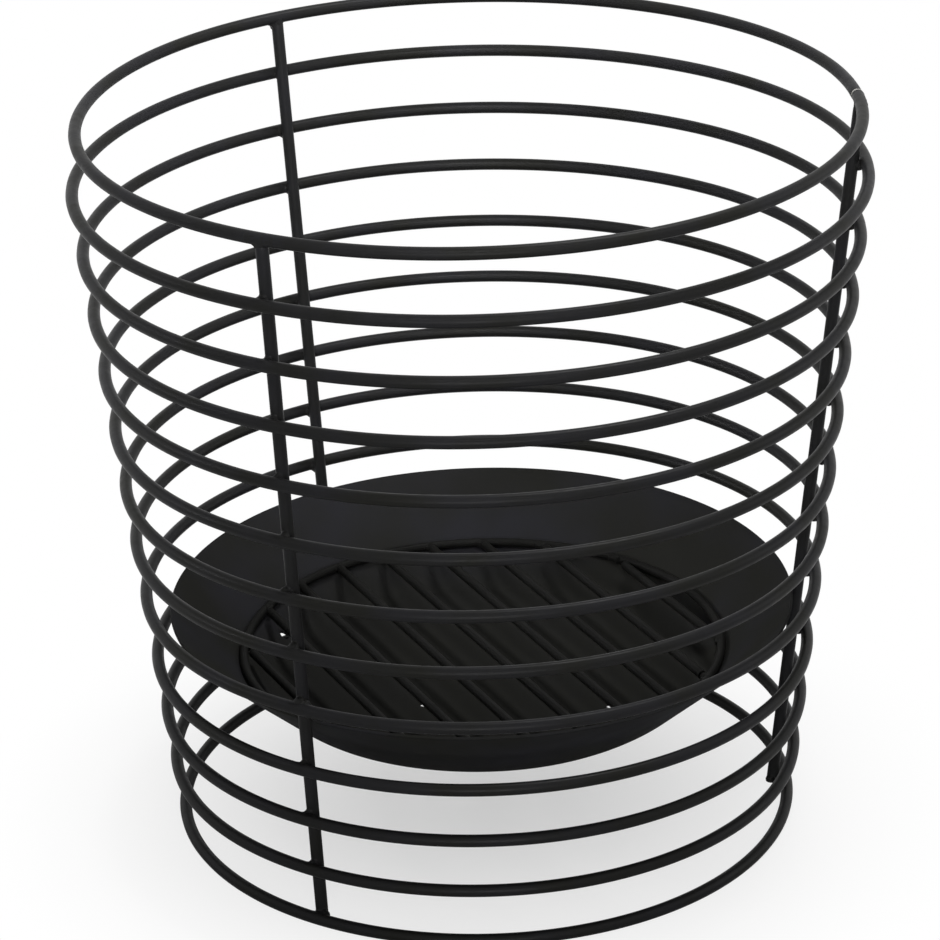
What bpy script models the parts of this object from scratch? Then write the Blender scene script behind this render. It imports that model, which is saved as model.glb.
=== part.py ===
"""Fire basket: round-bar hoops on three leaning uprights, a fire pan wedged in them and a round grate.

Metres, +Z up. The floor is z = 0, the basket's axis is the Z axis and its front faces -Y.
"""

import math

import bmesh
import bpy
from mathutils import Vector

# Clearance between pieces that touch on the real basket
GAP = 0.0003

# Frame of hoops and uprights
BAR = 0.008
UPPER_RINGS = 9
LOWER_RINGS = 4
UPPER_PITCH = 0.040
LOWER_PITCH = 0.038
PAN_BAY = 0.0455
TOP_RADIUS = 0.247
FOOT_RADIUS = 0.1945

# Each upright's azimuth in degrees from +X, at the top ring and at the foot ring
UPRIGHTS = {
    "upright_right": (1.0, 1.5),
    "upright_back_left": (121.2, 121.6),
    "upright_front_left": (240.4, 236.6),
}

# Fire pan of sheet steel, a truncated cone
SHEET = 0.0015
PAN_FLOOR_HEIGHT = 0.087
PAN_RIM_HEIGHT = 0.147
PAN_FLOOR_RADIUS = 0.138
PAN_BEND_RADIUS = 0.010
DRAIN_HOLE = 0.006

# Drain holes: distance from the axis and azimuth in degrees
DRAIN_HOLES = (
    (0.009, 78.0),
    (0.057, -133.5),
    (0.097, -31.0),
    (0.145, 158.0),
)

# Grate of thinner round bar
GRATE_WIRE = 0.006
GRATE_RADIUS = 0.159
GRATE_BARS = 9
GRATE_EDGE = 0.019      # from the hoop's centre line to the outermost bars
GRATE_TURN = -64.4

# Facets
RING_STEPS = 64
RING_SIDES = 8
ROUND_SIDES = 12
PAN_STEPS = 72
BEND_STEPS = 4

# Finish: linear colour, roughness and metallic value
BLACK_POWDER_COAT = ((0.013, 0.013, 0.014, 1.0), 0.55, 0.0)
BLACK_ENAMEL = ((0.019, 0.019, 0.021, 1.0), 0.48, 0.0)
SHARP_EDGE = math.radians(40)


def ring_heights():
    """Heights of the ring centres, the top ring first."""
    heights = [BAR / 2]
    for _ in range(LOWER_RINGS - 1):
        heights.append(heights[-1] + LOWER_PITCH)
    heights.append(heights[-1] + PAN_BAY)
    for _ in range(UPPER_RINGS - 1):
        heights.append(heights[-1] + UPPER_PITCH)
    return heights[::-1]


RING_HEIGHTS = ring_heights()
TOP_HEIGHT = RING_HEIGHTS[0]
FOOT_HEIGHT = RING_HEIGHTS[-1]
LEAN = math.atan2(TOP_RADIUS - FOOT_RADIUS, TOP_HEIGHT - FOOT_HEIGHT)


def polar(radius, azimuth, height):
    """Point at a distance from the basket's axis, an azimuth in degrees and a height."""
    turn = math.radians(azimuth)
    return Vector((radius * math.cos(turn), radius * math.sin(turn), height))


def upright_point(name, height):
    """Centre of an upright at a height: it runs straight from the top ring to the foot ring."""
    top_azimuth, foot_azimuth = UPRIGHTS[name]
    top = polar(TOP_RADIUS, top_azimuth, TOP_HEIGHT)
    foot = polar(FOOT_RADIUS, foot_azimuth, FOOT_HEIGHT)
    share = (height - FOOT_HEIGHT) / (TOP_HEIGHT - FOOT_HEIGHT)
    return foot + (top - foot) * share


def upright_reach(height):
    """Nearest and farthest distance of the uprights' centres from the basket's axis at a height."""
    distances = [upright_point(name, height).xy.length for name in UPRIGHTS]
    return min(distances), max(distances)


def inscribed(radius, steps):
    """Radius of the corners of a polygon whose flats lie at the given radius."""
    return radius / math.cos(math.pi / steps)


def make_material(name, finish):
    """One Principled material for one node."""
    colour, roughness, metallic = finish
    material = bpy.data.materials.new(name)
    material.use_nodes = True
    shader = material.node_tree.nodes["Principled BSDF"]
    shader.inputs["Base Color"].default_value = colour
    shader.inputs["Roughness"].default_value = roughness
    shader.inputs["Metallic"].default_value = metallic
    material.diffuse_color = colour
    return material


def finish_object(obj, finish, parent=None):
    """Smooth shading, the node's own material and its parent."""
    obj.data.shade_smooth()
    obj.data.set_sharp_from_angle(angle=SHARP_EDGE)
    obj.data.materials.append(make_material(obj.name, finish))
    obj.parent = parent
    return obj


def object_from_bmesh(name, bm, location):
    """Turn a bmesh into a linked object."""
    bmesh.ops.recalc_face_normals(bm, faces=bm.faces)
    mesh = bpy.data.meshes.new(name)
    bm.to_mesh(mesh)
    bm.free()
    obj = bpy.data.objects.new(name, mesh)
    obj.location = location
    bpy.context.collection.objects.link(obj)
    return obj


def hoop(name, radius, wire, height):
    """A round bar bent to a circle."""
    bpy.ops.mesh.primitive_torus_add(
        major_segments=RING_STEPS,
        minor_segments=RING_SIDES,
        major_radius=radius,
        minor_radius=wire / 2,
        location=(0, 0, height),
    )
    obj = bpy.context.object
    obj.name = name
    obj.data.name = name
    return obj


def round_bar(name, start, end, wire):
    """A straight round bar between two points, cut square, with its origin at the start."""
    along = end - start
    bm = bmesh.new()
    bmesh.ops.create_cone(
        bm,
        cap_ends=True,
        segments=ROUND_SIDES,
        radius1=wire / 2,
        radius2=wire / 2,
        depth=along.length,
    )
    bmesh.ops.translate(bm, verts=bm.verts, vec=(0, 0, along.length / 2))
    bmesh.ops.transform(bm, verts=bm.verts, matrix=along.to_track_quat("Z", "Y").to_matrix().to_4x4())
    return object_from_bmesh(name, bm, start)


def level_ends(obj):
    """Cut both ends of a leaning bar level, through the centres of its ends."""
    bm = bmesh.new()
    bm.from_mesh(obj.data)
    bm.verts.ensure_lookup_table()
    end_faces = [face for face in bm.faces if len(face.verts) == ROUND_SIDES]
    end_faces.sort(key=lambda face: face.calc_center_median().z)
    bottom, top = (face.calc_center_median() for face in end_faces)
    along = (top - bottom).normalized()
    for face, level in zip(end_faces, (bottom.z, top.z)):
        for vert in face.verts:
            vert.co += along * ((level - vert.co.z) / along.z)
    bm.to_mesh(obj.data)
    bm.free()


def build_rings():
    """The top ring stands on the uprights, and the others go round them."""
    for number, height in enumerate(RING_HEIGHTS, start=1):
        _, farthest = upright_reach(height)
        outside = farthest + (BAR + GAP) / math.cos(LEAN)
        radius = TOP_RADIUS if number == 1 else inscribed(outside, RING_STEPS)
        finish_object(hoop(f"ring_{number:02d}", radius, BAR, height), BLACK_POWDER_COAT)


def build_uprights():
    """Each upright runs from the floor to the underside of the top ring."""
    top_end = TOP_HEIGHT - BAR / 2 - GAP
    for name in UPRIGHTS:
        upright = round_bar(name, upright_point(name, 0.0), upright_point(name, top_end), BAR)
        level_ends(upright)
        finish_object(upright, BLACK_POWDER_COAT)


def pan_rim_radius():
    """The pan's rim rests between the uprights' inner sides."""
    nearest, _ = upright_reach(PAN_RIM_HEIGHT)
    return nearest - (BAR / 2) / math.cos(LEAN) - GAP


def pan_wall_slope():
    """Angle of the pan's wall above the level."""
    rise = PAN_RIM_HEIGHT - PAN_FLOOR_HEIGHT
    return math.atan2(rise, pan_rim_radius() - PAN_FLOOR_RADIUS)


def pan_bend_start():
    """Radius at which the flat floor ends and the bend to the wall starts."""
    return PAN_FLOOR_RADIUS - PAN_BEND_RADIUS * math.tan(pan_wall_slope() / 2)


def pan_outline():
    """Outside of the pan from the middle of the floor to the rim, with a rounded bend."""
    slope = pan_wall_slope()
    outline = [(0.0, PAN_FLOOR_HEIGHT)]
    for step in range(BEND_STEPS + 1):
        turn = slope * step / BEND_STEPS
        radius = pan_bend_start() + PAN_BEND_RADIUS * math.sin(turn)
        height = PAN_FLOOR_HEIGHT + PAN_BEND_RADIUS * (1 - math.cos(turn))
        outline.append((radius, height))
    outline.append((pan_rim_radius(), PAN_RIM_HEIGHT))
    return outline


def drain_cutter(number, distance, azimuth, parent):
    """Upright drill that makes one drain hole."""
    length = 2 * (PAN_RIM_HEIGHT - PAN_FLOOR_HEIGHT)
    start = polar(distance, azimuth, PAN_FLOOR_HEIGHT - length / 2)
    end = start + Vector((0, 0, length))
    cutter = round_bar(f"drain_cutter_{number}", start, end, DRAIN_HOLE)
    cutter.hide_render = True
    cutter.display_type = "WIRE"
    cutter.parent = parent
    return cutter


def build_pan(parent):
    """Outline turned round the axis, thickened inwards and drilled."""
    bm = bmesh.new()
    verts = [bm.verts.new((radius, 0, height)) for radius, height in pan_outline()]
    edges = [bm.edges.new(pair) for pair in zip(verts, verts[1:])]
    bmesh.ops.spin(
        bm,
        geom=verts + edges,
        cent=(0, 0, 0),
        axis=(0, 0, 1),
        angle=math.tau,
        steps=PAN_STEPS,
        use_merge=True,
    )
    bmesh.ops.remove_doubles(bm, verts=bm.verts, dist=1e-6)
    pan = object_from_bmesh("fire_pan", bm, (0, 0, 0))
    finish_object(pan, BLACK_ENAMEL, parent)

    wall = pan.modifiers.new("sheet", "SOLIDIFY")
    wall.thickness = SHEET
    wall.offset = -1.0
    wall.use_even_offset = True

    for number, (distance, azimuth) in enumerate(DRAIN_HOLES, start=1):
        hole = pan.modifiers.new(f"drain_hole_{number}", "BOOLEAN")
        hole.operation = "DIFFERENCE"
        hole.object = drain_cutter(number, distance, azimuth, parent)
    return pan


def grate_height():
    """Height at which the grate's hoop rests in the pan: on its wall, its bend or its floor."""
    slope = pan_wall_slope()
    radius = inscribed(GRATE_RADIUS, PAN_STEPS)
    stand_off = SHEET + GAP + GRATE_WIRE / 2
    bend = max(PAN_BEND_RADIUS - stand_off, 0.0)
    past_floor = radius - pan_bend_start()
    if past_floor <= 0:
        return PAN_FLOOR_HEIGHT + stand_off
    if past_floor < bend * math.sin(slope):
        return PAN_FLOOR_HEIGHT + PAN_BEND_RADIUS - math.sqrt(bend**2 - past_floor**2)
    wall_radius = radius + stand_off / math.sin(slope)
    return PAN_FLOOR_HEIGHT + (wall_radius - PAN_FLOOR_RADIUS) * math.tan(slope)


def build_grate(parent):
    """Hoop with straight bars across it, all in one plane."""
    height = grate_height()
    ring = hoop("grate_ring", GRATE_RADIUS, GRATE_WIRE, height)
    finish_object(ring, BLACK_POWDER_COAT, parent)

    turn = math.radians(GRATE_TURN)
    along = Vector((math.cos(turn), math.sin(turn), 0))
    across = Vector((-math.sin(turn), math.cos(turn), 0))
    inside = GRATE_RADIUS * math.cos(math.pi / RING_STEPS) - GRATE_WIRE / 2 - GAP
    outermost = GRATE_RADIUS - GRATE_EDGE
    for number in range(GRATE_BARS):
        offset = outermost * (2 * number / (GRATE_BARS - 1) - 1)
        half = math.sqrt(inside**2 - (abs(offset) + GRATE_WIRE / 2) ** 2)
        middle = across * offset + Vector((0, 0, height))
        bar = round_bar(f"grate_bar_{number + 1}", middle - along * half, middle + along * half, GRATE_WIRE)
        finish_object(bar, BLACK_POWDER_COAT, parent)


def lift_axis(name, parent=None):
    """Empty on the basket's axis that carries what lifts out."""
    axis = bpy.data.objects.new(name, None)
    bpy.context.collection.objects.link(axis)
    axis.parent = parent
    return axis


def clear_scene():
    """Start from an empty scene."""
    for obj in list(bpy.data.objects):
        bpy.data.objects.remove(obj)


def main():
    clear_scene()
    build_rings()
    build_uprights()
    pan_lift = lift_axis("pan_lift")
    grate_lift = lift_axis("grate_lift", pan_lift)
    build_pan(pan_lift)
    build_grate(grate_lift)


main()
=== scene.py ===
import math

import bmesh
import bpy
from mathutils import Matrix, Vector


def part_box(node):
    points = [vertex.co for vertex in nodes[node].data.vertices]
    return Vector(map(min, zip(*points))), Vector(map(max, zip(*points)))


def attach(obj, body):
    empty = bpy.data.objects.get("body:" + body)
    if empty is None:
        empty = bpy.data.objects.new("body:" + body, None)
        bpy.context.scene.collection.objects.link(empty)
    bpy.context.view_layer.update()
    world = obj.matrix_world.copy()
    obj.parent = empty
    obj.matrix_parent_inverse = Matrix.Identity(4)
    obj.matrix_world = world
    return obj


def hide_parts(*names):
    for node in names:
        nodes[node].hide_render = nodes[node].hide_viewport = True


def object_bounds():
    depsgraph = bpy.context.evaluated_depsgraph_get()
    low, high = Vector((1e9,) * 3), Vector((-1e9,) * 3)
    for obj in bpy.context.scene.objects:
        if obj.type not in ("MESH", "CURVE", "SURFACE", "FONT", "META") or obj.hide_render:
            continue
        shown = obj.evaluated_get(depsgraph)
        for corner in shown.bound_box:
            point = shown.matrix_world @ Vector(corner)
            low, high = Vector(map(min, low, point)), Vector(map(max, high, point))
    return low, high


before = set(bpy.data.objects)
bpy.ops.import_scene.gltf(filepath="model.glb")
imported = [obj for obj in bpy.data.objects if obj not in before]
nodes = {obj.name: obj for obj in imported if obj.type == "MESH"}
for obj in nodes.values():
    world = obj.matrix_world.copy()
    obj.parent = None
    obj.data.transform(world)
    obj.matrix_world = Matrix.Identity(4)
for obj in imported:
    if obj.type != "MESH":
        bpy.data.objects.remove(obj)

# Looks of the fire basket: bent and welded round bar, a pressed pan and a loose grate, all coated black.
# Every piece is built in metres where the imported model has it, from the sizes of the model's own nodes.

cad_low, cad_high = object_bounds()
pan_low, pan_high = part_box("fire_pan")

UP = Vector((0, 0, 1))
MM = 0.001

# Bar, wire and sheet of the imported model, and the gap that it leaves between pieces that touch
BAR = 8 * MM
WIRE = 6 * MM
SHEET = 1.5 * MM
GAP = 0.3 * MM
RINGS = 13
UPRIGHTS = ("upright_right", "upright_back_left", "upright_front_left")
GRATE_BARS = 9

# Pan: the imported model's floor, with a rounder bend to its wall, and its holes by distance and azimuth
PAN_FLOOR_RADIUS = 138 * MM
PAN_BEND_RADIUS = 30 * MM
DRAIN_HOLE = 6 * MM
DRAIN_HOLES = ((9 * MM, 78.0), (57 * MM, -133.5), (97 * MM, -31.0), (145 * MM, 158.0))

# The way that the grate's bars run
GRATE_AZIMUTH = math.radians(-64.4)
GRATE_DIRECTION = Vector((math.cos(GRATE_AZIMUTH), math.sin(GRATE_AZIMUTH), 0))

# Azimuths of the hoops' seams, in degrees: the top one, the middle and swing of the others, and the grate's.
# From one hoop to the next the swing goes on by its beat, in radians
TOP_SEAM = 3.7
OTHER_SEAMS = 8.0
SEAM_SWING = 9.0
SEAM_BEAT = 2.4
GRATE_SEAM = 100.0

# Welds: how far their bars lie inside the real ones, and the radius of a bead that isn't there
SUNK = 0.18 * MM
NO_BEAD = -5 * MM

# Fineness of the shown meshes; edges sharper than the angle stay crisp
HOOP_AROUND = 432
WIRE_HOOP_AROUND = 300
BAR_SIDES = 16
PAN_AROUND = 288
CRISP = math.radians(50)

# The photograph's camera, fitted to the outlines of the hoops; its sensor and lens are in millimetres
CAMERA_PLACE = (0.0, -2.3988, 1.3021)
CAMERA_PITCH = math.radians(23.916)
CAMERA_ROLL = math.radians(-1.526)
CAMERA_SENSOR = 36.0
CAMERA_LENS = 153.81
CAMERA_SHIFT = -0.0083


def linear(code):
    """An sRGB hex colour as linear red, green, blue and full alpha."""
    levels = [int(code[i:i + 2], 16) / 255 for i in (1, 3, 5)]
    return [c / 12.92 if c <= 0.04045 else ((c + 0.055) / 1.055) ** 2.4 for c in levels] + [1.0]


def add(tree, kind, inputs=None, **settings):
    """Adds a node: settings by name, inputs by socket name or number, each a value or a node's output."""
    node = tree.nodes.new(kind)
    for name, value in settings.items():
        setattr(node, name, value)
    for key, value in (inputs or {}).items():
        if isinstance(value, bpy.types.NodeSocket):
            tree.links.new(value, node.inputs[key])
        else:
            node.inputs[key].default_value = value
    return node


# Materials

def coated_steel(name, dark, light, roughness, specular, cloud, film_width, peel, grain, finish=None):
    """Black coat on steel, named for what it is.

    dark and light are the hex colours that the coat drifts between over clouds of the given width, and its
    sheen changes by a little over film_width. peel is the orange peel's width and height and grain the
    powder's, all in metres. finish(tree, coords, colour) adds marks, and on the pan's floor painted shade."""
    sheen_change = 0.06
    material = bpy.data.materials.new(name)
    material.use_nodes = True
    tree = material.node_tree
    shader = tree.nodes["Principled BSDF"]
    coords = add(tree, "ShaderNodeTexCoord").outputs["Object"]

    drift = add(tree, "ShaderNodeTexNoise", {"Vector": coords, "Scale": 1 / cloud, "Detail": 2.0})
    film = add(tree, "ShaderNodeTexNoise", {"Vector": coords, "Scale": 1 / film_width, "Detail": 2.0})
    spread = add(tree, "ShaderNodeMapRange",
                 {"Value": drift.outputs[0], "From Min": 0.35, "From Max": 0.65})
    colour = add(tree, "ShaderNodeMix", {0: spread.outputs[0], 6: linear(dark), 7: linear(light)},
                 data_type="RGBA").outputs[2]
    if finish:
        colour = finish(tree, coords, colour)
    tree.links.new(colour, shader.inputs["Base Color"])

    rough = add(tree, "ShaderNodeMapRange",
                {"Value": film.outputs[0], "From Min": 0.3, "From Max": 0.7,
                 "To Min": roughness - sheen_change, "To Max": roughness + sheen_change})
    tree.links.new(rough.outputs[0], shader.inputs["Roughness"])
    shader.inputs["Specular IOR Level"].default_value = specular
    shader.inputs["IOR"].default_value = 1.5

    peel_width, peel_height = peel
    grain_width, grain_height = grain
    skin = add(tree, "ShaderNodeTexNoise", {"Vector": coords, "Scale": 1 / peel_width, "Detail": 1.0})
    powder = add(tree, "ShaderNodeTexNoise", {"Vector": coords, "Scale": 1 / grain_width, "Detail": 2.0})
    coarse = add(tree, "ShaderNodeBump", {"Height": skin.outputs[0], "Distance": peel_height})
    fine = add(tree, "ShaderNodeBump",
               {"Height": powder.outputs[0], "Distance": grain_height, "Normal": coarse.outputs[0]})
    tree.links.new(fine.outputs[0], shader.inputs["Normal"])
    return material


def butt_seam(tree, coords, colour):
    """The pale line of bare filler where the top hoop's two ends meet, about a millimetre wide."""
    offset = add(tree, "ShaderNodeAttribute", attribute_name="seam_offset").outputs["Fac"]
    ragged = add(tree, "ShaderNodeTexNoise", {"Vector": coords, "Scale": 1 / (1.2 * MM), "Detail": 2.0})
    edge = add(tree, "ShaderNodeMapRange",
               {"Value": ragged.outputs[0], "To Min": -0.2 * MM, "To Max": 0.2 * MM})
    uneven = add(tree, "ShaderNodeMath", {0: offset, 1: edge.outputs[0]})
    line = add(tree, "ShaderNodeMapRange",
               {"Value": uneven.outputs[0], "From Min": 0.6 * MM, "From Max": 0.75 * MM,
                "To Min": 1.0, "To Max": 0.0})
    return add(tree, "ShaderNodeMix", {0: line.outputs[0], 6: colour, 7: linear("#a6a5a0")},
               data_type="RGBA").outputs[2]


def foot_scuffs(tree, coords, colour):
    """Dusty grey scuffs on the lowest few millimetres, where the bar stands on the ground."""
    height = add(tree, "ShaderNodeSeparateXYZ", {0: coords}).outputs["Z"]
    patches = add(tree, "ShaderNodeTexNoise", {"Vector": coords, "Scale": 1 / (1.6 * MM), "Detail": 3.0})
    low = add(tree, "ShaderNodeMapRange",
              {"Value": height, "From Min": 0.0, "From Max": 3 * MM, "To Min": 0.6, "To Max": 0.0})
    scuff = add(tree, "ShaderNodeMath", {0: low.outputs[0], 1: patches.outputs[0]}, operation="MULTIPLY")
    return add(tree, "ShaderNodeMix", {0: scuff.outputs[0], 6: colour, 7: linear("#5c5a56")},
               data_type="RGBA").outputs[2]


def floor_painted_shade_and_warmth(tree, coords, colour):
    """Paints the pan's floor a shade darker and warmer than its wall, fading out by 20 mm up; the darkening
    is painted shade.
    """
    height = add(tree, "ShaderNodeSeparateXYZ", {0: coords}).outputs["Z"]
    low = add(tree, "ShaderNodeMapRange",
              {"Value": height, "From Min": pan_low.z + 3 * MM, "From Max": pan_low.z + 20 * MM,
               "To Min": 0.85, "To Max": 0.0})
    # Painted shade: the floor is mixed towards a darker, warmer charcoal
    return add(tree, "ShaderNodeMix", {0: low.outputs[0], 6: colour, 7: linear("#242422")},
               data_type="RGBA").outputs[2]


# Matt black powder coat on mild steel bar: an even, slightly pebbly black with a broad soft sheen. Real
# powder grain is about 0.1 mm across, too fine to show, so every coat here draws it at 0.4 to 0.5 mm
bar_coat = coated_steel("powder_coated_steel_bar", "#1d1d1b", "#212123", 0.38, 0.056, 45 * MM, 6 * MM,
                        (1.6 * MM, 0.04 * MM), (0.45 * MM, 0.008 * MM), butt_seam)
# The same coat on the uprights, a touch drier inside the hoops and scuffed at the feet
upright_coat = coated_steel("powder_coated_steel_upright", "#1e1e1d", "#222224", 0.40, 0.056,
                            45 * MM, 6 * MM, (1.6 * MM, 0.04 * MM), (0.45 * MM, 0.008 * MM), foot_scuffs)
# The same coat over the welds: thinner on their ripples, so a little rougher and uneven
weld_coat = coated_steel("powder_coated_weld", "#1c1c1b", "#212122", 0.46, 0.056, 12 * MM, 4 * MM,
                         (1.0 * MM, 0.12 * MM), (0.4 * MM, 0.03 * MM))
# Heat-proof stove enamel on pressed sheet: a smooth, even charcoal with next to no sheen, a shade cooler
# than the bars; its floor carries painted shade, darker and a little warmer
pan_coat = coated_steel("stove_enamelled_sheet_steel", "#252523", "#29292c", 0.45, 0.004, 70 * MM, 40 * MM,
                        (2.4 * MM, 0.03 * MM), (0.5 * MM, 0.006 * MM), floor_painted_shade_and_warmth)
# The grate's thin wire has the bars' coat, a little drier, coloured darker than the bars as painted shade
# for its place down in the pan
grate_coat = coated_steel("powder_coated_steel_wire", "#171716", "#1b1b1a", 0.42, 0.020, 35 * MM, 6 * MM,
                          (1.4 * MM, 0.04 * MM), (0.4 * MM, 0.010 * MM))


# Geometry Nodes

SOCKETS = {float: "NodeSocketFloat", int: "NodeSocketInt", Vector: "NodeSocketVector",
           bpy.types.Material: "NodeSocketMaterial"}


def new_tree(name, sizes):
    """A Geometry Nodes group with named inputs, given with their usual values."""
    tree = bpy.data.node_groups.new(name, "GeometryNodeTree")
    tree.interface.new_socket("Mesh", in_out="OUTPUT", socket_type="NodeSocketGeometry")
    for label, value in sizes.items():
        socket = tree.interface.new_socket(label, in_out="INPUT", socket_type=SOCKETS[type(value)])
        socket.default_value = value
    return tree, tree.nodes.new("NodeGroupInput").outputs


def close_tree(tree, geometry, coat):
    """Ends a tree: smooth faces, real instances and the material."""
    smooth = add(tree, "GeometryNodeSetShadeSmooth", {"Geometry": geometry})
    real = add(tree, "GeometryNodeRealizeInstances", {"Geometry": smooth.outputs[0]})
    finish = add(tree, "GeometryNodeSetMaterial", {"Geometry": real.outputs[0], "Material": coat})
    add(tree, "NodeGroupOutput", {0: finish.outputs[0]})


def run_tree(tree, **sizes):
    """Plain mesh that a tree makes from these inputs, named with underscores for spaces."""
    holder = bpy.data.objects.new("holder", bpy.data.meshes.new("holder"))
    bpy.context.scene.collection.objects.link(holder)
    modifier = holder.modifiers.new("make", "NODES")
    modifier.node_group = tree
    for item in tree.interface.items_tree:
        key = item.name.lower().replace(" ", "_")
        if key in sizes:
            modifier[item.identifier] = sizes[key]
    graph = bpy.context.evaluated_depsgraph_get()
    made = holder.evaluated_get(graph)
    mesh = bpy.data.meshes.new_from_object(made, preserve_all_data_layers=True, depsgraph=graph)
    bpy.data.objects.remove(holder)
    return mesh


def hoop_tree():
    """A round bar bent to a circle, its ends butt-welded.

    Seam Turn is the joint's azimuth and Seam Depth the share of the bar that its groove takes. The end
    behind it stands further in by Seam Step, and Seam Line is 1 where the joint shows. Wander is how far the
    bar may lie inside its circle, and Rise how far it may go up and down in all."""
    groove_reach = 0.3 * MM
    closing_reach = 4.5 * MM
    closing_share = 0.8
    drift_width = 1 / 7
    tree, given = new_tree("bent_hoop", {
        "Radius": 0.2, "Bar": BAR, "Height": 0.0, "Around": HOOP_AROUND, "Sides": BAR_SIDES,
        "Seam Turn": 0.0, "Seam Depth": 0.01, "Seam Step": 0.0, "Seam Line": 0.0, "Wander": 0.2 * MM,
        "Rise": 0.2 * MM, "Seed": 1.0, "Coat": bar_coat})
    circle = add(tree, "GeometryNodeCurvePrimitiveCircle",
                 {"Resolution": given["Around"], "Radius": given["Radius"]})
    turn = add(tree, "ShaderNodeCombineXYZ", {"Z": given["Seam Turn"]})
    turned = add(tree, "GeometryNodeTransform",
                 {"Geometry": circle.outputs[0], "Rotation": turn.outputs[0]})
    place = add(tree, "GeometryNodeInputPosition").outputs[0]

    # Signed distance from the seam's plane, plus behind the seam; the far side is moved away from zero
    cosine = add(tree, "ShaderNodeMath", {0: given["Seam Turn"]}, operation="COSINE")
    sine = add(tree, "ShaderNodeMath", {0: given["Seam Turn"]}, operation="SINE")
    outward = add(tree, "ShaderNodeCombineXYZ", {"X": cosine.outputs[0], "Y": sine.outputs[0]})
    minus = add(tree, "ShaderNodeMath", {0: sine.outputs[0], 1: -1.0}, operation="MULTIPLY")
    onward = add(tree, "ShaderNodeCombineXYZ", {"X": minus.outputs[0], "Y": cosine.outputs[0]})
    offset = add(tree, "ShaderNodeVectorMath", {0: place, 1: onward.outputs[0]}, operation="DOT_PRODUCT")
    facing = add(tree, "ShaderNodeVectorMath", {0: place, 1: outward.outputs[0]}, operation="DOT_PRODUCT")
    opposite = add(tree, "ShaderNodeMath", {0: facing.outputs["Value"], 1: 0.0}, operation="LESS_THAN")
    signed = add(tree, "ShaderNodeMath", {0: offset.outputs["Value"], 1: opposite.outputs[0]})
    apart = add(tree, "ShaderNodeMath", {0: signed.outputs[0]}, operation="ABSOLUTE")

    # The points on either side of the seam close up to it, so that the groove is narrow
    beside = add(tree, "ShaderNodeMath", {0: apart.outputs[0], 1: closing_reach}, operation="LESS_THAN")
    pulled = add(tree, "ShaderNodeMath", {0: signed.outputs[0], 1: -closing_share}, operation="MULTIPLY")
    closed = add(tree, "ShaderNodeVectorMath", {0: onward.outputs[0], "Scale": pulled.outputs[0]},
                 operation="SCALE")
    narrow = add(tree, "GeometryNodeSetPosition",
                 {"Geometry": turned.outputs[0], "Selection": beside.outputs[0],
                  "Offset": closed.outputs[0]})
    groove = add(tree, "ShaderNodeMath", {0: apart.outputs[0], 1: groove_reach}, operation="LESS_THAN")
    taken = add(tree, "ShaderNodeMath", {0: groove.outputs[0], 1: given["Seam Depth"]}, operation="MULTIPLY")
    thinner = add(tree, "ShaderNodeMath", {0: 1.0, 1: taken.outputs[0]}, operation="SUBTRACT")
    thick = add(tree, "GeometryNodeSetCurveRadius",
                {"Curve": narrow.outputs[0], "Radius": thinner.outputs[0]})

    # A hand-fed bender leaves the circle a fraction of a millimetre out of true, never wider than drawn
    start = add(tree, "ShaderNodeVectorMath", {0: place, 1: given["Seed"]})
    drift = add(tree, "ShaderNodeTexNoise",
                {"Vector": start.outputs[0], "Scale": 1 / drift_width, "Detail": 1.0})
    draw = add(tree, "ShaderNodeSeparateXYZ", {0: drift.outputs["Color"]}).outputs
    behind = add(tree, "ShaderNodeMapRange",
                 {"Value": signed.outputs[0], "From Min": groove_reach, "From Max": 0.5 * MM,
                  "To Min": 0.0, "To Max": 1.0})
    fading = add(tree, "ShaderNodeMapRange",
                 {"Value": signed.outputs[0], "From Min": 1 * MM, "From Max": 60 * MM,
                  "To Min": 1.0, "To Max": 0.0})
    stepped = add(tree, "ShaderNodeMath", {0: behind.outputs[0], 1: fading.outputs[0]}, operation="MULTIPLY")
    step = add(tree, "ShaderNodeMath", {0: stepped.outputs[0], 1: given["Seam Step"]}, operation="MULTIPLY")
    inward = add(tree, "ShaderNodeMath", {0: draw[0], 1: given["Wander"], 2: step.outputs[0]},
                 operation="MULTIPLY_ADD")
    shrink = add(tree, "ShaderNodeMath", {0: inward.outputs[0], 1: -1.0}, operation="MULTIPLY")
    radial = add(tree, "ShaderNodeVectorMath", {0: place}, operation="NORMALIZE")
    drawn_in = add(tree, "ShaderNodeVectorMath", {0: radial.outputs[0], "Scale": shrink.outputs[0]},
                   operation="SCALE")
    level = add(tree, "ShaderNodeMath", {0: draw[1], 1: 0.5}, operation="SUBTRACT")
    height = add(tree, "ShaderNodeMath", {0: level.outputs[0], 1: given["Rise"], 2: given["Height"]},
                 operation="MULTIPLY_ADD")
    lift = add(tree, "ShaderNodeCombineXYZ", {"Z": height.outputs[0]})
    shift = add(tree, "ShaderNodeVectorMath", {0: drawn_in.outputs[0], 1: lift.outputs[0]})
    placed = add(tree, "GeometryNodeSetPosition",
                 {"Geometry": thick.outputs[0], "Offset": shift.outputs[0]})

    half = add(tree, "ShaderNodeMath", {0: given["Bar"], 1: 0.5}, operation="MULTIPLY")
    section = add(tree, "GeometryNodeCurvePrimitiveCircle",
                  {"Resolution": given["Sides"], "Radius": half.outputs[0]})
    tube = add(tree, "GeometryNodeCurveToMesh",
               {"Curve": placed.outputs[0], "Profile Curve": section.outputs[0]})
    # Where no line shows, the stored distance is never near zero
    unseen = add(tree, "ShaderNodeMath", {0: 1.0, 1: given["Seam Line"]}, operation="SUBTRACT")
    stored = add(tree, "ShaderNodeMath", {0: apart.outputs[0], 1: unseen.outputs[0]})
    marked = add(tree, "GeometryNodeStoreNamedAttribute",
                 {"Geometry": tube.outputs[0], "Name": "seam_offset", "Value": stored.outputs[0]},
                 data_type="FLOAT", domain="POINT")
    close_tree(tree, marked.outputs[0], given["Coat"])
    return tree


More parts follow.
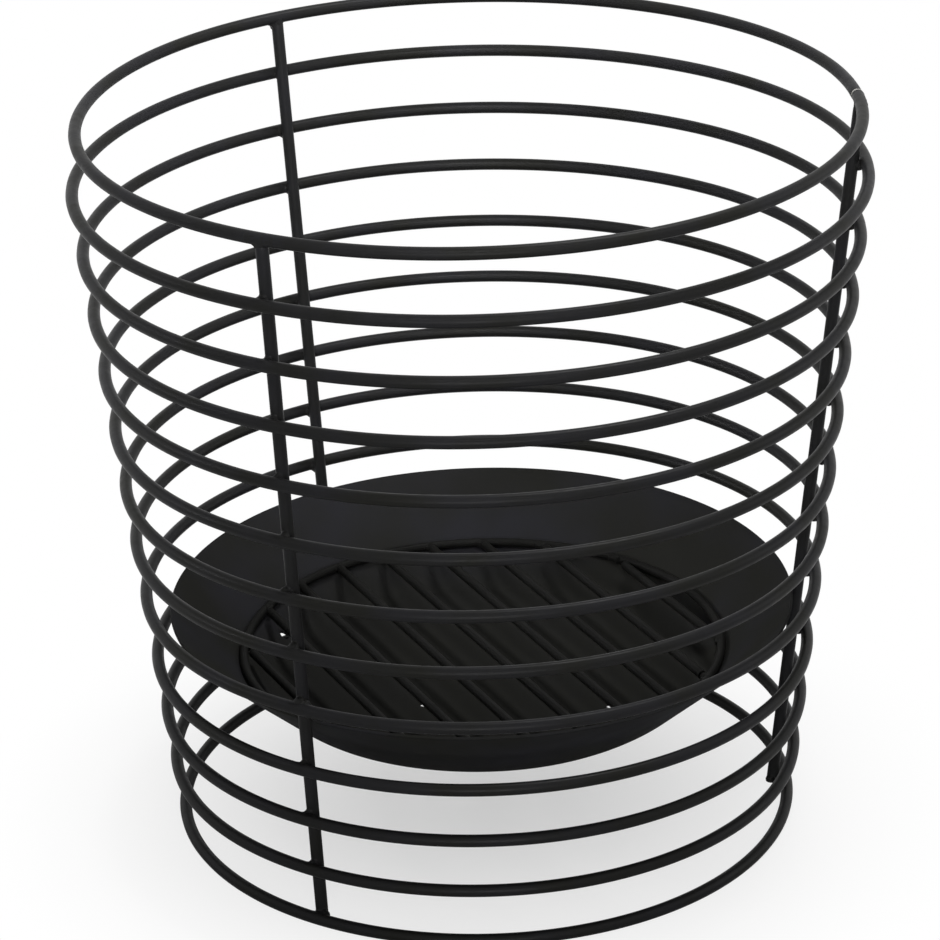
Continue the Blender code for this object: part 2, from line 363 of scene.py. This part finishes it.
def bar_tree():
    """A straight round bar from Start to End whose ends are cut level at Low and High, and which bows by up
    to half of Wander either way."""
    drift_width = 1 / 6
    tree, given = new_tree("straight_bar", {
        "Start": Vector((0, 0, 0)), "End": Vector((0, 0, 0.1)), "Low": -1.0, "High": 1.0, "Bar": BAR,
        "Steps": 40, "Sides": BAR_SIDES, "Wander": 0.1 * MM, "Seed": 1.0, "Coat": upright_coat})
    line = add(tree, "GeometryNodeCurvePrimitiveLine", {"Start": given["Start"], "End": given["End"]})
    points = add(tree, "GeometryNodeResampleCurve", {"Curve": line.outputs[0], "Count": given["Steps"]})
    place = add(tree, "GeometryNodeInputPosition").outputs[0]
    start = add(tree, "ShaderNodeVectorMath", {0: place, 1: given["Seed"]})
    drift = add(tree, "ShaderNodeTexNoise",
                {"Vector": start.outputs[0], "Scale": 1 / drift_width, "Detail": 1.0})
    centred = add(tree, "ShaderNodeVectorMath", {0: drift.outputs["Color"], 1: (0.5, 0.5, 0.5)},
                  operation="SUBTRACT")
    wobble = add(tree, "ShaderNodeVectorMath", {0: centred.outputs[0], "Scale": given["Wander"]},
                 operation="SCALE")
    bent = add(tree, "GeometryNodeSetPosition",
               {"Geometry": points.outputs[0], "Offset": wobble.outputs[0]})
    half = add(tree, "ShaderNodeMath", {0: given["Bar"], 1: 0.5}, operation="MULTIPLY")
    section = add(tree, "GeometryNodeCurvePrimitiveCircle",
                  {"Resolution": given["Sides"], "Radius": half.outputs[0]})
    solid = add(tree, "GeometryNodeCurveToMesh",
                {"Curve": bent.outputs[0], "Profile Curve": section.outputs[0], "Fill Caps": True})

    # Points past a level cut slide back along the bar to it
    along = add(tree, "ShaderNodeVectorMath", {0: given["End"], 1: given["Start"]}, operation="SUBTRACT")
    rise = add(tree, "ShaderNodeSeparateXYZ", {0: along.outputs[0]})
    height = add(tree, "ShaderNodeSeparateXYZ", {0: place})
    kept = add(tree, "ShaderNodeClamp", {0: height.outputs["Z"], "Min": given["Low"], "Max": given["High"]})
    over = add(tree, "ShaderNodeMath", {0: kept.outputs[0], 1: height.outputs["Z"]}, operation="SUBTRACT")
    share = add(tree, "ShaderNodeMath", {0: over.outputs[0], 1: rise.outputs["Z"]}, operation="DIVIDE")
    slide = add(tree, "ShaderNodeVectorMath", {0: along.outputs[0], "Scale": share.outputs[0]},
                operation="SCALE")
    cut = add(tree, "GeometryNodeSetPosition", {"Geometry": solid.outputs[0], "Offset": slide.outputs[0]})
    close_tree(tree, cut.outputs[0], given["Coat"])
    return tree


def weld_tree():
    """One weld where bar A meets bar B: a volume that blends the two bars and a fillet, turned to a mesh.

    Bar B runs along X through Centre B. Bar A runs the way of Along A, nearly Z, through Centre A, and where
    Butted is 1 it ends at B's middle and a web fills the corner between them for Leg along each bar: on one
    side of A where Side is 1 or -1, on both where it is 0. Bars that cross have up to two round beads of
    weld instead. The shape is cut off Reach from the origin, inside the bars."""
    tree, given = new_tree("weld_fillet", {
        "Radius": BAR / 2, "Centre A": Vector((0, 0, 0)), "Centre B": Vector((0, 0, 0)),
        "Along A": Vector((0, 0, 1)),
        "Butted": 0.0, "Side": 1.0, "Leg": 2 * MM, "Web": 2.2 * MM, "Bead 1": Vector((0, 0, 0)),
        "Bead 1 Radius": NO_BEAD, "Bead 2": Vector((0, 0, 0)), "Bead 2 Radius": NO_BEAD,
        "Blend": 1.2 * MM, "Soften": 0.8 * MM, "Ripple": 0.4 * MM, "Reach": 10 * MM, "Cells": 46,
        "Seed": 1.0, "Coat": weld_coat})
    place = add(tree, "GeometryNodeInputPosition").outputs[0]
    parts = add(tree, "ShaderNodeSeparateXYZ", {0: place}).outputs

    from_a = add(tree, "ShaderNodeVectorMath", {0: place, 1: given["Centre A"]}, operation="SUBTRACT")
    swept = add(tree, "ShaderNodeVectorMath", {0: from_a.outputs[0], 1: given["Along A"]},
                operation="CROSS_PRODUCT")
    wide_a = add(tree, "ShaderNodeVectorMath", {0: swept.outputs[0]}, operation="LENGTH")
    side_a = add(tree, "ShaderNodeMath", {0: wide_a.outputs["Value"], 1: given["Radius"]},
                 operation="SUBTRACT")
    # Unless A is butted, its end lies far below every point
    ending = add(tree, "ShaderNodeMapRange", {"Value": given["Butted"], "To Min": -1.0, "To Max": 0.0})
    end_a = add(tree, "ShaderNodeMath", {0: parts["Z"], 1: ending.outputs[0]})
    bar_a = add(tree, "ShaderNodeMath", {0: side_a.outputs[0], 1: end_a.outputs[0]}, operation="MAXIMUM")

    from_b = add(tree, "ShaderNodeVectorMath", {0: place, 1: given["Centre B"]}, operation="SUBTRACT")
    flat_b = add(tree, "ShaderNodeVectorMath", {0: from_b.outputs[0], 1: (0, 1, 1)}, operation="MULTIPLY")
    wide_b = add(tree, "ShaderNodeVectorMath", {0: flat_b.outputs[0]}, operation="LENGTH")
    bar_b = add(tree, "ShaderNodeMath", {0: wide_b.outputs["Value"], 1: given["Radius"]},
                operation="SUBTRACT")
    bars = add(tree, "ShaderNodeMath", {0: bar_a.outputs[0], 1: bar_b.outputs[0], 2: given["Blend"]},
               operation="SMOOTH_MIN")

    # The web has a hollow face: what lies outside a circle that touches both bars
    one_way = add(tree, "ShaderNodeMath", {0: parts["X"], 1: given["Side"]}, operation="MULTIPLY")
    either = add(tree, "ShaderNodeMath", {0: parts["X"]}, operation="ABSOLUTE")
    sided = add(tree, "ShaderNodeMath", {0: given["Side"]}, operation="ABSOLUTE")
    across = add(tree, "ShaderNodeMix", {0: sided.outputs[0], 2: either.outputs[0], 3: one_way.outputs[0]})
    depth = add(tree, "ShaderNodeMath", {0: parts["Y"]}, operation="ABSOLUTE")
    rise = add(tree, "ShaderNodeMath", {0: parts["Z"]}, operation="ABSOLUTE")
    edge = add(tree, "ShaderNodeMath", {0: given["Radius"], 1: given["Leg"]})
    limit = add(tree, "ShaderNodeCombineXYZ", {0: edge.outputs[0], 1: given["Web"], 2: edge.outputs[0]})
    corner = add(tree, "ShaderNodeCombineXYZ",
                 {0: across.outputs[0], 1: depth.outputs[0], 2: rise.outputs[0]})
    past = add(tree, "ShaderNodeVectorMath", {0: corner.outputs[0], 1: limit.outputs[0]},
               operation="SUBTRACT")
    over = add(tree, "ShaderNodeSeparateXYZ", {0: past.outputs[0]}).outputs
    box_1 = add(tree, "ShaderNodeMath", {0: over["X"], 1: over["Y"]}, operation="MAXIMUM")
    box_2 = add(tree, "ShaderNodeMath", {0: box_1.outputs[0], 1: over["Z"]}, operation="MAXIMUM")
    inward = add(tree, "ShaderNodeMath", {0: across.outputs[0], 1: -1.0}, operation="MULTIPLY")
    box_3 = add(tree, "ShaderNodeMath", {0: box_2.outputs[0], 1: inward.outputs[0]}, operation="MAXIMUM")
    level = add(tree, "ShaderNodeVectorMath", {0: past.outputs[0], 1: (1, 0, 1)}, operation="MULTIPLY")
    round_off = add(tree, "ShaderNodeVectorMath", {0: level.outputs[0]}, operation="LENGTH")
    hollow = add(tree, "ShaderNodeMath", {0: given["Leg"], 1: round_off.outputs["Value"]},
                 operation="SUBTRACT")
    web_1 = add(tree, "ShaderNodeMath", {0: box_3.outputs[0], 1: hollow.outputs[0]}, operation="MAXIMUM")
    web_2 = add(tree, "ShaderNodeMath", {0: web_1.outputs[0], 1: end_a.outputs[0]}, operation="MAXIMUM")
    # Where the bars cross, the web lies far from every point
    crossing = add(tree, "ShaderNodeMapRange", {"Value": given["Butted"], "To Min": 1.0, "To Max": 0.0})
    web_3 = add(tree, "ShaderNodeMath", {0: web_2.outputs[0], 1: crossing.outputs[0]})
    joined = add(tree, "ShaderNodeMath", {0: bars.outputs[0], 1: web_3.outputs[0], 2: given["Soften"]},
                 operation="SMOOTH_MIN")
    for bead in ("Bead 1", "Bead 2"):
        from_bead = add(tree, "ShaderNodeVectorMath", {0: place, 1: given[bead]}, operation="DISTANCE")
        ball = add(tree, "ShaderNodeMath", {0: from_bead.outputs["Value"], 1: given[f"{bead} Radius"]},
                   operation="SUBTRACT")
        joined = add(tree, "ShaderNodeMath", {0: joined.outputs[0], 1: ball.outputs[0], 2: given["Soften"]},
                     operation="SMOOTH_MIN")

    # Ripples of the molten pool, 1.6 mm apart
    start = add(tree, "ShaderNodeVectorMath", {0: place, 1: given["Seed"]})
    pool = add(tree, "ShaderNodeTexNoise",
               {"Vector": start.outputs[0], "Scale": 1 / (1.6 * MM), "Detail": 1.0})
    swing = add(tree, "ShaderNodeMath", {0: pool.outputs[0], 1: 0.5}, operation="SUBTRACT")
    ripple = add(tree, "ShaderNodeMath", {0: swing.outputs[0], 1: given["Ripple"], 2: joined.outputs[0]},
                 operation="MULTIPLY_ADD")

    away = add(tree, "ShaderNodeVectorMath", {0: place}, operation="LENGTH")
    outside = add(tree, "ShaderNodeMath", {0: away.outputs["Value"], 1: given["Reach"]},
                  operation="SUBTRACT")
    shape = add(tree, "ShaderNodeMath", {0: ripple.outputs[0], 1: outside.outputs[0]}, operation="MAXIMUM")
    # The density falls from 1 to 0 across the surface, which lies where it is a half
    density = add(tree, "ShaderNodeMapRange",
                  {"Value": shape.outputs[0], "From Min": -2 * MM, "From Max": 2 * MM,
                   "To Min": 1.0, "To Max": 0.0})
    # The cube of cells reaches a tenth past the cut
    room = add(tree, "ShaderNodeMath", {0: given["Reach"], 1: 1.1}, operation="MULTIPLY")
    far = add(tree, "ShaderNodeCombineXYZ", {0: room.outputs[0], 1: room.outputs[0], 2: room.outputs[0]})
    near = add(tree, "ShaderNodeVectorMath", {0: far.outputs[0], "Scale": -1.0}, operation="SCALE")
    volume = add(tree, "GeometryNodeVolumeCube",
                 {"Density": density.outputs[0], "Background": 0.0, "Min": near.outputs[0],
                  "Max": far.outputs[0], "Resolution X": given["Cells"], "Resolution Y": given["Cells"],
                  "Resolution Z": given["Cells"]})
    skin = add(tree, "GeometryNodeVolumeToMesh", {"Volume": volume.outputs[0], "Threshold": 0.5})
    close_tree(tree, skin.outputs[0], given["Coat"])
    return tree


# Pieces

def show(name, mesh, body, slot, *stands_for):
    """Makes a finished mesh a piece: it rides on its body and stands for its CAD nodes."""
    mesh.name = name
    piece = bpy.data.objects.new(name, mesh)
    bpy.context.scene.collection.objects.link(piece)
    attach(piece, body)
    if stands_for:
        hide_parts(*stands_for)


def round_ends(mesh):
    """Rounds the edges of a bar's cut ends a little, as a deburred and coated edge is."""
    bm = bmesh.new()
    bm.from_mesh(mesh)
    sharp = [e for e in bm.edges if e.is_manifold and e.calc_face_angle() > CRISP]
    bmesh.ops.bevel(bm, geom=sharp, offset=0.35 * MM, segments=2, affect="EDGES", profile=0.5)
    bm.to_mesh(mesh)
    bm.free()
    mesh.shade_smooth()
    mesh.set_sharp_from_angle(angle=CRISP)
    return mesh


def level_of(name):
    """Height of the middle of a CAD node."""
    low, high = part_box(name)
    return (low.z + high.z) / 2


def end_points(name, along):
    """Middles of a CAD bar's two ends, the lower along the given direction first."""
    places = [v.co.copy() for v in nodes[name].data.vertices]
    reach = [p.dot(along) for p in places]
    ends = []
    for limit in (min(reach), max(reach)):
        found = [p for p, r in zip(places, reach) if abs(r - limit) < 0.1 * MM]
        ends.append(sum(found, Vector()) / len(found))
    return ends


hoop_maker, bar_maker, weld_maker = hoop_tree(), bar_tree(), weld_tree()

# Radius and height of each hoop's middle line, from the top down
ring_places = {}
for number in range(1, RINGS + 1):
    name = f"ring_{number:02d}"
    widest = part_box(name)[1].x
    ring_places[name] = (widest - BAR / 2, level_of(name))

# Only the top hoop's seam shows. The others lie near the right upright, stepped round from hoop to hoop, and
# are ground flush under the coat. The end hoops keep their height, so the basket keeps its own.
for number, (name, (radius, height)) in enumerate(ring_places.items()):
    if number == 0:
        seam = dict(seam_turn=math.radians(TOP_SEAM), seam_depth=0.05, seam_step=0.35 * MM, seam_line=1.0)
    else:
        seam = dict(seam_turn=math.radians(OTHER_SEAMS + SEAM_SWING * math.sin(SEAM_BEAT * number)))
    rise = 0.0 if number in (0, RINGS - 1) else 0.3 * MM
    mesh = run_tree(hoop_maker, radius=radius, height=height, rise=rise, seed=float(number), **seam)
    show(f"bent_{name}", mesh, "basket", "black_coated_bar", name)

upright_lines = {}
for number, name in enumerate(UPRIGHTS):
    foot, top = end_points(name, UP)
    along = (top - foot).normalized()
    upright_lines[name] = (foot, along)
    mesh = run_tree(bar_maker, start=foot - along * BAR, end=top + along * BAR, low=foot.z, high=top.z,
                    seed=10.0 + number)
    show(f"bar_{name}", round_ends(mesh), "basket", "black_coated_bar", name)


def place_weld(mesh, origin, x, y, z):
    """Turns a weld to the axes of its joint and moves it there."""
    matrix = Matrix((x, y, z)).transposed().to_4x4()
    mesh.transform(Matrix.Translation(origin) @ matrix)
    return mesh


def drop_crumbs(bm):
    """Removes the specks that the blending of a weld can leave beside it; a weld has thousands of points."""
    fewest_points = 100
    waiting = set(bm.verts)
    while waiting:
        reached = [waiting.pop()]
        for vert in reached:
            for edge in vert.link_edges:
                other = edge.other_vert(vert)
                if other in waiting:
                    waiting.remove(other)
                    reached.append(other)
        if len(reached) < fewest_points:
            bmesh.ops.delete(bm, geom=reached, context="VERTS")


def join_meshes(meshes, coat):
    """One mesh in one coat from several, its points kept between the floor and the top hoop's top."""
    bm = bmesh.new()
    for mesh in meshes:
        bm.from_mesh(mesh)
    drop_crumbs(bm)
    for vert in bm.verts:
        vert.co.z = min(max(vert.co.z, 0.1 * MM), cad_high.z - 0.02 * MM)
    # Faces that fold flat there go
    bmesh.ops.dissolve_degenerate(bm, edges=bm.edges, dist=0.001 * MM)
    joined = bpy.data.meshes.new("welds")
    bm.to_mesh(joined)
    bm.free()
    joined.materials.append(coat)
    joined.shade_smooth()
    return joined


# Beads of weld at each crossing that the photograph shows, by the ring's number: how far to the left of the
# upright as seen from outside, how far outward, how far above the ring's middle, and radius, in millimetres
BEADS = {
    "upright_front_left": {
        2: ((0.6, 0, 1.4, 3.2),), 3: ((0.6, 0, 1.2, 2.5), (2.2, 0, -4.4, 1.5)), 4: ((0, 1, 3.0, 2.0),),
        5: ((0.5, 1, 3.0, 2.0),), 6: ((-1.5, 1.5, 3.4, 2.2),), 7: ((2.0, 1.5, 3.4, 2.4),),
        8: ((-0.5, 2, 3.6, 2.9),), 9: ((-1.0, 2, 3.8, 2.9), (-5.6, 0, 2.4, 2.2)), 10: ((0, 1, 2.8, 2.0),),
        11: ((0.6, 0, 1.4, 3.0),), 12: ((0, 1, 2.8, 2.0),), 13: ((-5.4, 0, 1.3, 3.1),)},
    "upright_back_left": {
        2: ((-0.6, 0, -1.2, 2.4),), 3: ((-0.7, 0, -1.2, 3.4),), 4: ((-0.6, 0, -1.2, 2.9),),
        5: ((-0.6, 0, -1.2, 2.3),), 6: ((-0.6, 0, -1.2, 2.3),), 7: ((-0.6, 0, -1.2, 2.3),),
        8: ((-0.7, 0, -1.2, 3.3),), 9: ((-0.8, 0, -1.3, 3.7),), 10: ((3.0, 0, 1.2, 2.2),),
        11: ((-3.0, 0, 1.0, 2.0),), 12: ((-3.2, 0, -1.2, 2.2),), 13: ((-3.0, 0, 1.8, 2.4),)},
    "upright_right": {
        2: ((2.2, 0, -3.0, 2.6),), 3: ((2.2, 0, -3.0, 2.6),), 4: ((2.2, 0, -3.0, 2.7),),
        5: ((2.8, 0, -3.8, 2.8),), 6: ((3.0, 0, -4.0, 3.0),), 7: ((3.8, 0, -5.2, 3.2),),
        8: ((4.2, 0, -5.8, 3.4),), 9: ((4.2, 0, -5.8, 3.4),), 10: ((2.8, 0, -3.6, 2.7),),
        11: ((3.0, 0, -4.2, 3.0),), 12: ((2.6, 0, -3.6, 2.8),),
        13: ((3.0, -7, -1.0, 2.3), (6.0, -3, -1.5, 2.3))},
}

# The top hoop's joints with the uprights: the side with the larger fillet, 1 for left, and its leg
TOP_JOINTS = {"upright_front_left": (1.0, 1.4 * MM), "upright_back_left": (-1.0, 4.2 * MM),
              "upright_right": (-1.0, 2.0 * MM)}

# How far the two bars run into each other at a crossing: the front upright's are the most filled
FUSED = {"upright_front_left": 5.0 * MM, "upright_back_left": 1.2 * MM, "upright_right": 1.6 * MM}

for name in UPRIGHTS:
    foot, along = upright_lines[name]
    meshes = []
    for number, (radius, height) in enumerate(ring_places.values(), start=1):
        point = foot + along * ((height - foot.z) / along.z)
        outward = Vector((point.x, point.y, 0)).normalized()
        left = outward.cross(UP)
        leaning = Vector((along.dot(left), along.dot(outward), along.z))
        if number == 1:
            side, leg = TOP_JOINTS[name]
            mesh = run_tree(weld_maker, along_a=leaning, butted=1.0, side=side, leg=leg, web=2.8 * MM,
                            reach=11 * MM, blend=2 * MM, radius=BAR / 2 - SUNK, seed=float(number))
            origin = point
        else:
            beads = {}
            for place, (*centre, size) in enumerate(BEADS[name][number], start=1):
                beads[f"bead_{place}"] = Vector(centre) * MM
                beads[f"bead_{place}_radius"] = size * MM
            middle = (BAR + GAP) / 2
            mesh = run_tree(weld_maker, centre_a=Vector((0, -middle, 0)), centre_b=Vector((0, middle, 0)),
                            along_a=leaning, radius=BAR / 2 - SUNK, blend=FUSED[name], soften=2.6 * MM,
                            reach=12 * MM if number == RINGS else 10 * MM, seed=float(number), **beads)
            origin = point + outward * middle
        meshes.append(place_weld(mesh, origin, left, outward, UP))
    show(f"welds_{name}", join_meshes(meshes, weld_coat), "basket", "black_coated_bar")


# Pan

rim_radius = max(v.co.xy.length for v in nodes["fire_pan"].data.vertices)
pan_slope = math.atan2(pan_high.z - pan_low.z, rim_radius - PAN_FLOOR_RADIUS)


def pan_outline():
    """Outside of the pan from the floor's middle to the rim, as radius and height."""
    bend_start = PAN_FLOOR_RADIUS - PAN_BEND_RADIUS * math.tan(pan_slope / 2)
    floor_steps, bend_steps, wall_steps = 14, 10, 16
    line = [(bend_start * s / floor_steps, pan_low.z) for s in range(floor_steps)]
    for s in range(bend_steps + 1):
        turn = pan_slope * s / bend_steps
        line.append((bend_start + PAN_BEND_RADIUS * math.sin(turn),
                     pan_low.z + PAN_BEND_RADIUS * (1 - math.cos(turn))))
    bend_radius, bend_height = line[-1]
    for s in range(1, wall_steps + 1):
        share = s / wall_steps
        line.append((bend_radius + (rim_radius - bend_radius) * share,
                     bend_height + (pan_high.z - bend_height) * share))
    return line


def pan_mesh():
    """The outline turned round the axis, thickened inwards, drilled and its edges broken."""
    bm = bmesh.new()
    verts = [bm.verts.new((radius, 0, height)) for radius, height in pan_outline()]
    edges = [bm.edges.new(pair) for pair in zip(verts, verts[1:])]
    bmesh.ops.spin(bm, geom=verts + edges, cent=(0, 0, 0), axis=(0, 0, 1), angle=math.tau,
                   steps=PAN_AROUND, use_merge=True)
    bmesh.ops.remove_doubles(bm, verts=bm.verts, dist=1e-6)
    bmesh.ops.recalc_face_normals(bm, faces=bm.faces)
    # Pressing leaves the sheet a little out of true between the rim and the middle
    for vert in bm.verts:
        reach = vert.co.xy.length / rim_radius
        around = math.atan2(vert.co.y, vert.co.x)
        still = math.sin(math.pi * min(reach, 1.0))
        vert.co.z += 0.25 * MM * still * math.sin(3 * around + 4 * reach)
        vert.co.z += 0.12 * MM * still * math.sin(7 * around - 9 * reach + 1.0)
    mesh = bpy.data.meshes.new("pan")
    bm.to_mesh(mesh)
    bm.free()
    mesh.materials.append(pan_coat)
    pan = bpy.data.objects.new("pan", mesh)
    bpy.context.scene.collection.objects.link(pan)
    wall = pan.modifiers.new("sheet", "SOLIDIFY")
    wall.thickness = SHEET
    wall.offset = -1.0
    wall.use_even_offset = True
    drills = []
    for distance, azimuth in DRAIN_HOLES:
        turn = math.radians(azimuth)
        bm = bmesh.new()
        bmesh.ops.create_cone(bm, cap_ends=True, segments=32, radius1=DRAIN_HOLE / 2,
                              radius2=DRAIN_HOLE / 2, depth=60 * MM)
        bmesh.ops.translate(bm, verts=bm.verts,
                            vec=(distance * math.cos(turn), distance * math.sin(turn), pan_low.z))
        tool = bpy.data.meshes.new("drill")
        bm.to_mesh(tool)
        bm.free()
        drill = bpy.data.objects.new("drill", tool)
        bpy.context.scene.collection.objects.link(drill)
        hole = pan.modifiers.new("hole", "BOOLEAN")
        hole.object = drill
        drills.append(drill)
    edge = pan.modifiers.new("edge", "BEVEL")
    edge.width = 0.3 * MM
    edge.segments = 2
    edge.limit_method = "ANGLE"
    edge.angle_limit = CRISP
    graph = bpy.context.evaluated_depsgraph_get()
    made = bpy.data.meshes.new_from_object(pan.evaluated_get(graph), depsgraph=graph)
    for spare in [pan] + drills:
        bpy.data.objects.remove(spare)
    made.shade_smooth()
    made.set_sharp_from_angle(angle=CRISP)
    return made


show("pressed_fire_pan", pan_mesh(), "pan", "black_coated_sheet", "fire_pan")


# Grate

hoop_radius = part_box("grate_ring")[1].x - WIRE / 2
grate_level = level_of("grate_ring")
mesh = run_tree(hoop_maker, radius=hoop_radius, height=grate_level, bar=WIRE, around=WIRE_HOOP_AROUND,
                seam_turn=math.radians(GRATE_SEAM), seed=31.0, coat=grate_coat)
show("bent_grate_ring", mesh, "grate", "black_coated_bar", "grate_ring")

grate_welds = []
for number in range(1, GRATE_BARS + 1):
    name = f"grate_bar_{number}"
    start, end = end_points(name, GRATE_DIRECTION)
    mesh = run_tree(bar_maker, start=start, end=end, bar=WIRE, steps=24, seed=40.0 + number,
                    coat=grate_coat)
    show(f"wire_{name}", round_ends(mesh), "grate", "black_coated_bar", name)
    for tip, direction in ((start, -GRATE_DIRECTION), (end, GRATE_DIRECTION)):
        # Where the bar's line meets the middle of the hoop's wire
        across = tip - direction * tip.dot(direction)
        reach = math.sqrt(hoop_radius ** 2 - across.xy.length ** 2)
        point = Vector((across.x, across.y, 0)) + direction * reach
        outward = point.normalized()
        tangent = UP.cross(outward)
        slanting = Vector((direction.dot(tangent), 0, direction.dot(outward)))
        weld = run_tree(weld_maker, along_a=slanting, butted=1.0, side=0.0, leg=1.6 * MM, web=1.6 * MM,
                        blend=1.6 * MM, reach=6.5 * MM, cells=28, radius=WIRE / 2 - SUNK, seed=float(number))
        origin = Vector((point.x, point.y, grate_level))
        grate_welds.append(place_weld(weld, origin, tangent, outward.cross(tangent), outward))
show("welds_grate", join_meshes(grate_welds, grate_coat), "grate", "black_coated_bar")


# Floor, light and camera

def seen_directly(tree):
    """1 for what the camera, a sheen or a clear material shows of the surroundings, 0 for their light."""
    path = add(tree, "ShaderNodeLightPath")
    seen = add(tree, "ShaderNodeMath",
               {0: path.outputs["Is Camera Ray"], 1: path.outputs["Is Glossy Ray"]}, operation="MAXIMUM")
    return add(tree, "ShaderNodeMath", {0: seen.outputs[0], 1: path.outputs["Is Transmission Ray"]},
               operation="MAXIMUM").outputs[0]


def floor_material():
    """Pale matt studio floor: white with the object's soft shadow, and far out the background's white."""
    material = bpy.data.materials.new("pale_studio_floor")
    material.use_nodes = True
    tree = material.node_tree
    shader = tree.nodes["Principled BSDF"]
    seen = seen_directly(tree)
    colour = add(tree, "ShaderNodeMix", {0: seen, 6: linear("#a0a09f"), 7: linear("#f6f6f5")},
                 data_type="RGBA")
    tree.links.new(colour.outputs[2], shader.inputs["Base Color"])
    shader.inputs["Roughness"].default_value = 0.9
    shader.inputs["Specular IOR Level"].default_value = 0.1
    coords = add(tree, "ShaderNodeTexCoord").outputs["Object"]
    away = add(tree, "ShaderNodeVectorMath", {0: coords}, operation="LENGTH")
    shown = add(tree, "ShaderNodeMapRange",
                {"Value": away.outputs["Value"], "From Min": 0.0, "From Max": 0.35,
                 "To Min": 0.5, "To Max": 1.0}, interpolation_type="SMOOTHSTEP")
    # The ground right under the object is dark to a sheen, as it is in its shadow
    mirrored = add(tree, "ShaderNodeMapRange",
                   {"Value": away.outputs["Value"], "From Min": 0.05, "From Max": 0.6},
                   interpolation_type="SMOOTHSTEP")
    camera_ray = add(tree, "ShaderNodeLightPath").outputs["Is Camera Ray"]
    either = add(tree, "ShaderNodeMix", {0: camera_ray, 2: mirrored.outputs[0], 3: shown.outputs[0]})
    share = add(tree, "ShaderNodeMath", {0: either.outputs[0], 1: seen}, operation="MULTIPLY")
    white = add(tree, "ShaderNodeEmission", {"Strength": 1.0})
    mixed = add(tree, "ShaderNodeMixShader",
                {0: share.outputs[0], 1: shader.outputs[0], 2: white.outputs[0]})
    tree.links.new(mixed.outputs[0], tree.nodes["Material Output"].inputs["Surface"])
    return material


def studio():
    """Floor, white surroundings and soft lamps. The one overhead casts the grate's shadow in the pan, the
    pan's own one reaches its right wall, and the top one the far hoops."""
    bm = bmesh.new()
    bmesh.ops.create_circle(bm, cap_ends=True, segments=96, radius=8.0)
    mesh = bpy.data.meshes.new("floor")
    bm.to_mesh(mesh)
    bm.free()
    mesh.materials.append(floor_material())
    floor = bpy.data.objects.new("floor", mesh)
    # Just under the feet
    floor.location.z = -0.05 * MM
    bpy.context.scene.collection.objects.link(floor)

    world = bpy.data.worlds.new("white_studio")
    world.use_nodes = True
    tree = world.node_tree
    # The surroundings are seen white and light the basket only faintly
    strength = add(tree, "ShaderNodeMapRange",
                   {"Value": seen_directly(tree), "To Min": 0.03, "To Max": 1.0})
    background = tree.nodes["Background"]
    background.inputs["Color"].default_value = (1, 1, 1, 1)
    tree.links.new(strength.outputs[0], background.inputs["Strength"])
    bpy.context.scene.world = world

    # Each lamp's place and aim, its width in metres, spread in degrees and power in watts
    for name, place, aim, size, spread, power in (
        ("right_softbox", (2.0, 0.3, 0.9), (0, 0, 0.2), 1.3, 180, 6.4),
        ("left_softbox", (-2.0, 0.4, 1.2), (0, 0, 0.2), 1.3, 180, 3.2),
        ("pan_softbox", (-1.3, 0.0, 0.8), (0.21, 0.03, 0.14), 0.25, 16, 0.16),
        ("high_softbox", (0.9, -0.9, 1.3), (0, 0, 0.2), 0.8, 180, 2.0),
        ("front_softbox", (0.0, -2.1, 0.62), (0, 0, 0.47), 1.1, 68, 4.5),
        ("top_softbox", (0.0, -0.5, 1.1), (0, 0.25, 0.45), 0.5, 50, 1.1),
        ("overhead_softbox", (0.42, 0.36, 1.9), (0, 0, 0.1), 0.42, 180, 16.5),
    ):
        lamp = bpy.data.lights.new(name, "AREA")
        lamp.shape = "SQUARE"
        lamp.size = size
        lamp.spread = math.radians(spread)
        lamp.energy = power
        holder = bpy.data.objects.new(name, lamp)
        holder.location = place
        holder.rotation_euler = (Vector(aim) - holder.location).to_track_quat("-Z", "Y").to_euler()
        bpy.context.scene.collection.objects.link(holder)


def camera():
    """The photograph's view, from its own perspective: 24 degrees above level and a little off level."""
    data = bpy.data.cameras.new("camera")
    data.sensor_width = CAMERA_SENSOR
    data.lens = CAMERA_LENS
    data.shift_x = CAMERA_SHIFT
    eye = bpy.data.objects.new("camera", data)
    turn = Matrix.Rotation(math.pi / 2 - CAMERA_PITCH, 4, "X") @ Matrix.Rotation(CAMERA_ROLL, 4, "Z")
    eye.matrix_world = Matrix.Translation(CAMERA_PLACE) @ turn
    bpy.context.scene.collection.objects.link(eye)
    bpy.context.scene.camera = eye


studio()
camera()
bpy.context.scene.view_settings.view_transform = "Standard"
